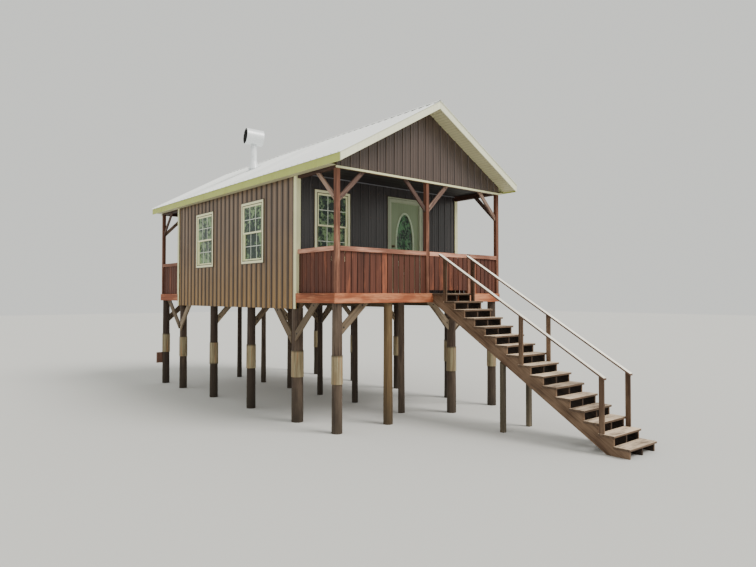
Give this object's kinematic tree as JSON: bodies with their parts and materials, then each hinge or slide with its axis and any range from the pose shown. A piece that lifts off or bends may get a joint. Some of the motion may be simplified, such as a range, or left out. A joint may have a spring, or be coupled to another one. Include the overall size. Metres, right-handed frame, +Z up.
{
  "type": "stilt house",
  "caption": "Small gabled cabin on round poles, with ribbed brown siding, a railed porch at each end, a swinging front door and gate, and an open stair.",
  "frame": {"origin": "on the ground, under the middle of the whole outline, roof and stair included", "axes": "+Z up; -Y is the front, where the stair and the front porch are; +X is to the right of a person looking at the front"},
  "size_m": [5.3206, 13.72, 7.2879],
  "materials": {
    "pole_wood": "rough, weathered round poles",
    "bare_wood": "bare natural pole",
    "collar_sheet": "pale weathered wrap",
    "board_red": "faded reddish board",
    "brace_wood": "weathered rough boards",
    "frame_wood": "treated framing timber",
    "floor_wood": "floor boards",
    "stained_wood": "red-brown stain",
    "deck_wood": "worn brown deck boards",
    "lining": "plain wall lining",
    "brown_metal": "brown painted ribbed sheet",
    "cream_trim": "cream painted trim",
    "window_white": "off-white window frame",
    "window_glass": "dark clear panes",
    "door_paint": "pale grey-green paint",
    "door_glass": "patterned oval light",
    "brass": "worn brass",
    "iron": "black iron hardware",
    "ceiling_wood": "dark ceiling boards",
    "soffit": "cream vented soffit",
    "roof_metal": "bright galvanised ribbed sheet",
    "vent_metal": "dull bright steel",
    "stair_wood": "faded brown stain",
    "tread_wood": "weathered, scuffed treads",
    "rail_wood": "pale weathered handrail"
  },
  "bodies": {
    "house": {"poles": "pole_wood", "bare_post": "bare_wood", "pole_collars": "collar_sheet", "pole_board": "board_red", "under_braces": "brace_wood", "floor_girders": "frame_wood", "cabin_floor_frame": "frame_wood", "cabin_floor": "floor_wood", "front_porch_frame": "stained_wood", "back_porch_frame": "stained_wood", "porch_decks": "deck_wood", "left_wall": "lining", "right_wall": "lining", "back_wall": "lining", "front_wall_left": "lining", "front_wall_right": "lining", "front_wall_over_door": "lining", "left_siding": "brown_metal", "right_siding": "brown_metal", "front_siding": "brown_metal", "back_siding": "brown_metal", "gable_walls": "frame_wood", "gable_siding": "brown_metal", "corner_trims": "cream_trim", "gable_trims": "cream_trim", "window_frames": "window_white", "window_panes": "window_glass", "front_door_frame": "cream_trim", "door_hinge_pins": "brass", "back_door": "door_paint", "porch_posts": "stained_wood", "porch_braces": "stained_wood", "porch_headers": "stained_wood", "ceilings": "ceiling_wood", "front_railings": "stained_wood", "side_railings": "stained_wood", "back_railings": "stained_wood", "gate_pintles": "iron", "left_roof": "soffit", "right_roof": "soffit", "roof_sheets": "roof_metal", "ridge_cap": "roof_metal", "fascias": "cream_trim", "soffits": "soffit", "vent_pipe": "vent_metal", "vent_cap": "vent_metal", "stringers": "stair_wood", "treads": "tread_wood", "stair_posts": "pole_wood", "handrail_posts": "stair_wood", "handrails": "rail_wood"},
    "front_door": {"front_door": "door_paint", "door_glass": "door_glass", "door_knob": "brass", "door_hinge_leaves": "brass"},
    "gate": {"gate": "stained_wood", "gate_straps": "iron"}
  },
  "joints": [
    {"name": "front_door_swing", "type": "hinge", "parent": "house", "child": "front_door", "pos_m": [1.0875, -0.977, 3.788], "axis": [0, 0, -1], "range_deg": [0, 95]},
    {"name": "gate_swing", "type": "hinge", "parent": "house", "child": "gate", "pos_m": [0.0725, -2.363, 3.188], "axis": [0, 0, 1], "range_deg": [0, 90]}
  ]
}
